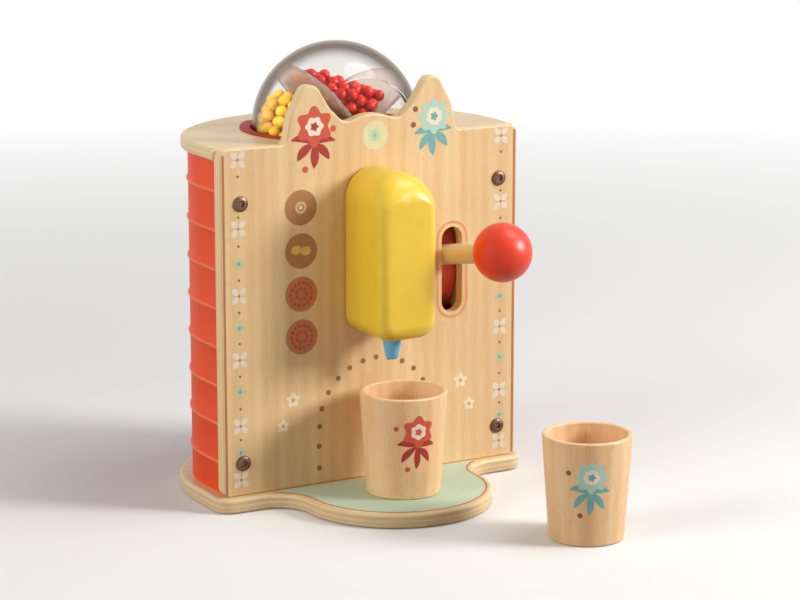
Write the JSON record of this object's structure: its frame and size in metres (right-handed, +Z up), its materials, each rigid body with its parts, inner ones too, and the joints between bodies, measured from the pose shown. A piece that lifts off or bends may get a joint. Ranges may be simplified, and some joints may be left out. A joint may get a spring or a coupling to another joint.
{
  "type": "toy coffee maker",
  "caption": "Wooden play coffee maker with a turning clear bead drum on top, a sliding yellow brew head, a rattling lever with a ball knob, a tray and two cups.",
  "frame": {"origin": "underside of the base, midway between its sides, in the plane of the front panel's face", "axes": "+Z up, -Y to the front where the cups stand, +X to the right as seen by someone at the front"},
  "size_m": [0.202, 0.2811, 0.2595],
  "materials": {
    "birch_ply": "satin lacquered plywood with printed borders",
    "plate_ply": "satin lacquered plywood with rounded edges",
    "beech": "plain planed beech",
    "cup_beech": "turned beech, satin lacquer",
    "red_sheet": "satin red sheet",
    "red_paint": "satin red paint on wood",
    "yellow_paint": "satin yellow paint on wood",
    "blue_paint": "satin blue paint on wood",
    "clear_plastic": "clear moulded plastic",
    "steel": "zinc plated",
    "bronzed_steel": "dark bronzed",
    "spring_steel": "bright spring strip",
    "white_nylon": "moulded nylon",
    "felt": "pressed wool felt",
    "red_bead": "glossy bead",
    "yellow_bead": "glossy bead",
    "brown_bead": "glossy bead",
    "green_bead": "glossy bead"
  },
  "bodies": {
    "cabinet": {"base_plate": "plate_ply", "front_panel": "birch_ply", "top_plate": "plate_ply", "curved_wall": "red_sheet", "left_post": "beech", "right_post": "beech", "rear_post": "beech", "panel_screws": "bronzed_steel", "base_screws": "steel", "top_dowels": "beech", "trim_left": "red_sheet", "trim_right": "red_sheet", "rear_bearing": "beech", "bearing_screws": "steel", "click_block": "beech", "click_spring": "spring_steel", "click_screw": "steel", "left_cheek": "beech", "right_cheek": "beech", "lever_pin": "steel", "rattle_reed": "spring_steel", "reed_block": "beech", "reed_screw": "steel"},
    "drum": {"clear_shell_front": "clear_plastic", "clear_shell_rear": "clear_plastic", "drum_divider": "clear_plastic", "drum_axle": "steel", "front_washer": "white_nylon", "click_wheel": "white_nylon", "red_beads": "red_bead", "yellow_beads": "yellow_bead", "brown_beads": "brown_bead", "green_beads": "green_bead"},
    "head": {"brew_head": "yellow_paint", "spout": "blue_paint", "felt_pad": "felt", "head_tenon": "beech", "head_slider": "beech", "head_screws": "steel"},
    "lever": {"lever_wheel": "red_paint", "lever_arm": "beech", "lever_knob": "red_paint"},
    "cup_on_tray": {"tray_cup": "cup_beech"},
    "cup_beside": {"loose_cup": "cup_beech"}
  },
  "joints": [
    {"name": "drum_turn", "type": "hinge", "parent": "cabinet", "child": "drum", "pos_m": [0, 0.044, 0.21], "axis": [0, 1, 0], "continuous": true},
    {"name": "head_slide", "type": "slide", "parent": "cabinet", "child": "head", "axis": [0, 0, 1], "range_m": [-0.0135, 0]},
    {"name": "lever_swing", "type": "hinge", "parent": "cabinet", "child": "lever", "pos_m": [0.053, 0.047, 0.1265], "axis": [1, 0, 0], "range_deg": [-10, 32]},
    {"name": "tray_cup_out", "type": "slide", "parent": "cabinet", "child": "cup_on_tray", "axis": [0, -1, 0], "range_m": [0, 0.09]},
    {"name": "loose_cup_lift", "type": "slide", "parent": "cabinet", "child": "cup_beside", "axis": [0, 0, 1], "range_m": [0, 0.06]}
  ]
}
